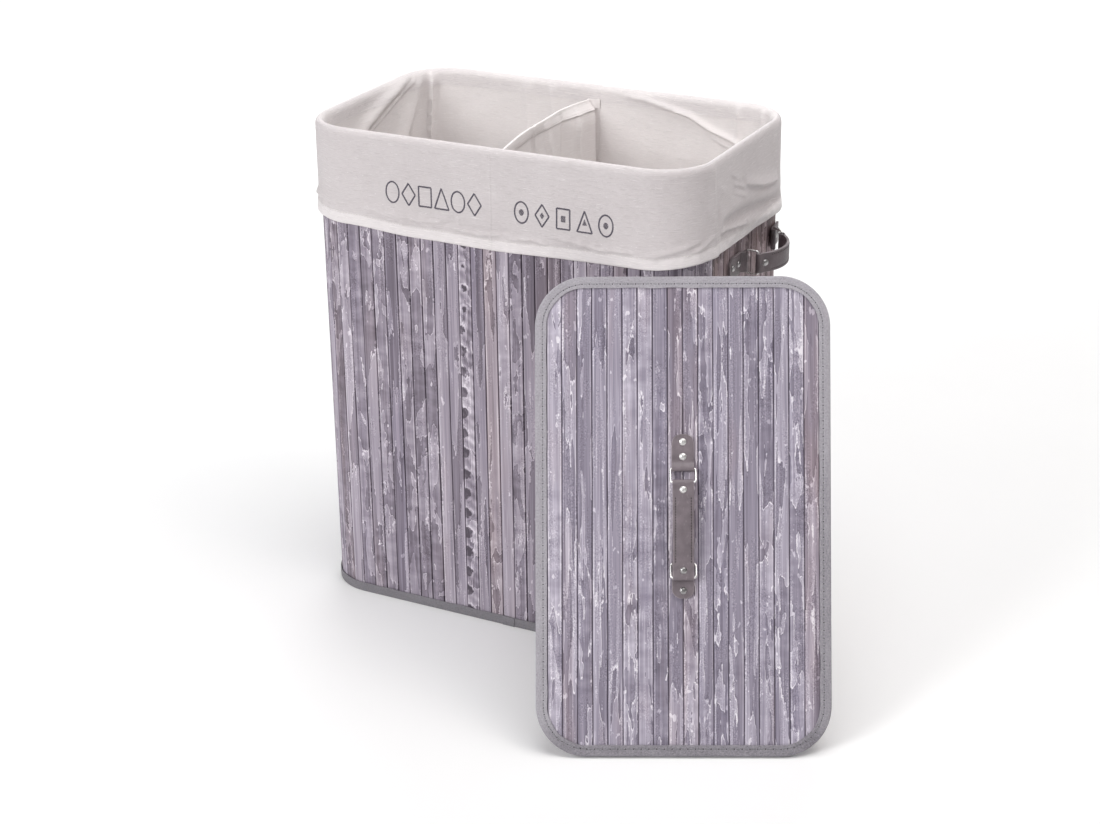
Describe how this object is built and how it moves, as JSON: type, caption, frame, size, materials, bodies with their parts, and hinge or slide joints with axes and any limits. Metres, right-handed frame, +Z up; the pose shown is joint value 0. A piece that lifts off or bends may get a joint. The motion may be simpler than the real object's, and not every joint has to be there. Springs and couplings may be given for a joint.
{
  "type": "two-bin laundry hamper",
  "caption": "Freestanding laundry hamper with slatted walls, a divided cloth liner folded over the rim, side carrying straps and a loose slatted lid leaning on a corner.",
  "frame": {"origin": "middle of the underside of the base board, on the floor", "axes": "+X along the hamper's length to its right-hand end, +Z up, so the front with the lid faces -Y"},
  "size_m": [0.7492, 0.5401, 0.5952],
  "materials": {
    "wall_slats": "grey wash over split bamboo slats",
    "lid_slats": "grey wash over split bamboo slats, paler",
    "backing_cloth": "plain woven backing",
    "board": "raw fibreboard",
    "lid_tape": "woven cotton tape with a stitched edge",
    "base_tape": "woven cotton tape, darker",
    "linen": "unbleached plain weave with slubs",
    "leather": "smooth grey-brown with stitched edges",
    "nickel": "polished nickel plate",
    "wire": "drawn steel wire"
  },
  "bodies": {
    "hamper": {"front_slats": "wall_slats", "back_slats": "wall_slats", "right_slats": "wall_slats", "left_slats": "wall_slats", "corner_slats_front_right": "wall_slats", "corner_slats_back_right": "wall_slats", "corner_slats_back_left": "wall_slats", "corner_slats_front_left": "wall_slats", "wall_backing": "backing_cloth", "base_tape": "base_tape", "base_wire": "wire", "rim_tape": "lid_tape", "rim_wire": "wire", "base_board": "board", "right_handle_tab_front": "leather", "right_handle_rivet_front_inner": "nickel", "right_handle_rivet_front_outer": "nickel", "right_handle_tab_back": "leather", "right_handle_rivet_back_inner": "nickel", "right_handle_rivet_back_outer": "nickel", "left_handle_tab_front": "leather", "left_handle_rivet_front_inner": "nickel", "left_handle_rivet_front_outer": "nickel", "left_handle_tab_back": "leather", "left_handle_rivet_back_inner": "nickel", "left_handle_rivet_back_outer": "nickel"},
    "liner": {"liner_bag": "linen", "liner_cuff": "linen", "liner_divider": "linen", "liner_divider_hem": "linen"},
    "lid": {"lid_slats": "lid_slats", "lid_board": "board", "lid_lining": "linen", "lid_tape": "lid_tape", "lid_wire": "wire", "lid_handle_tab_upper": "leather", "lid_handle_rivet_upper_inner": "nickel", "lid_handle_rivet_upper_outer": "nickel", "lid_handle_tab_lower": "leather", "lid_handle_rivet_lower_inner": "nickel", "lid_handle_rivet_lower_outer": "nickel"},
    "right_handle_ring_front": {"right_handle_ring_front": "nickel"},
    "right_handle_ring_back": {"right_handle_ring_back": "nickel"},
    "right_handle_strap": {"right_handle_strap": "leather", "right_handle_rivet_strap_front": "nickel", "right_handle_rivet_strap_back": "nickel"},
    "left_handle_ring_front": {"left_handle_ring_front": "nickel"},
    "left_handle_ring_back": {"left_handle_ring_back": "nickel"},
    "left_handle_strap": {"left_handle_strap": "leather", "left_handle_rivet_strap_front": "nickel", "left_handle_rivet_strap_back": "nickel"},
    "lid_handle_ring_upper": {"lid_handle_ring_upper": "nickel"},
    "lid_handle_ring_lower": {"lid_handle_ring_lower": "nickel"},
    "lid_handle_strap": {"lid_handle_strap": "leather", "lid_handle_rivet_strap_upper": "nickel", "lid_handle_rivet_strap_lower": "nickel"}
  },
  "joints": [
    {"name": "lid_lift", "type": "slide", "parent": "hamper", "child": "lid", "axis": [0.3792, -0.7786, 0.5], "range_m": [0, 0.5]},
    {"name": "liner_lift", "type": "slide", "parent": "hamper", "child": "liner", "axis": [0, 0, 1], "range_m": [0, 0.62]},
    {"name": "lid_ring_upper_swing", "type": "hinge", "parent": "lid", "child": "lid_handle_ring_upper", "pos_m": [0.27197, -0.21746, 0.28823], "axis": [-0.899, -0.438, 0], "range_deg": [0, 130]},
    {"name": "lid_ring_lower_swing", "type": "hinge", "parent": "lid", "child": "lid_handle_ring_lower", "pos_m": [0.29024, -0.25498, 0.19407], "axis": [-0.899, -0.438, 0], "range_deg": [0, 130]},
    {"name": "lid_strap_turn", "type": "hinge", "parent": "lid_handle_ring_upper", "child": "lid_handle_strap", "pos_m": [0.27725, -0.2283, 0.27772], "axis": [-0.899, -0.438, 0], "range_deg": [-130, 0]},
    {"name": "right_ring_front_swing", "type": "hinge", "parent": "hamper", "child": "right_handle_ring_front", "pos_m": [0.2536, -0.008, 0.4565], "axis": [0, 0, 1], "range_deg": [0, 60]},
    {"name": "right_ring_back_swing", "type": "hinge", "parent": "hamper", "child": "right_handle_ring_back", "pos_m": [0.2536, 0.078, 0.4565], "axis": [0, 0, 1], "range_deg": [0, 60]},
    {"name": "right_strap_turn", "type": "hinge", "parent": "right_handle_ring_front", "child": "right_handle_strap", "pos_m": [0.2696, -0.008, 0.4565], "axis": [0, 0, 1], "range_deg": [-70, 0]},
    {"name": "left_ring_front_swing", "type": "hinge", "parent": "hamper", "child": "left_handle_ring_front", "pos_m": [-0.2536, -0.008, 0.4565], "axis": [0, 0, -1], "range_deg": [0, 60]},
    {"name": "left_ring_back_swing", "type": "hinge", "parent": "hamper", "child": "left_handle_ring_back", "pos_m": [-0.2536, 0.078, 0.4565], "axis": [0, 0, -1], "range_deg": [0, 60]},
    {"name": "left_strap_turn", "type": "hinge", "parent": "left_handle_ring_front", "child": "left_handle_strap", "pos_m": [-0.2696, -0.008, 0.4565], "axis": [0, 0, -1], "range_deg": [-70, 0]}
  ],
  "couplings": [
    {"joint": "lid_ring_lower_swing", "follows": "lid_ring_upper_swing", "ratio": 1},
    {"joint": "lid_strap_turn", "follows": "lid_ring_upper_swing", "ratio": -1},
    {"joint": "right_ring_back_swing", "follows": "right_ring_front_swing", "ratio": 0.9},
    {"joint": "right_strap_turn", "follows": "right_ring_front_swing", "ratio": -1.11},
    {"joint": "left_ring_back_swing", "follows": "left_ring_front_swing", "ratio": 0.9},
    {"joint": "left_strap_turn", "follows": "left_ring_front_swing", "ratio": -1.11}
  ]
}
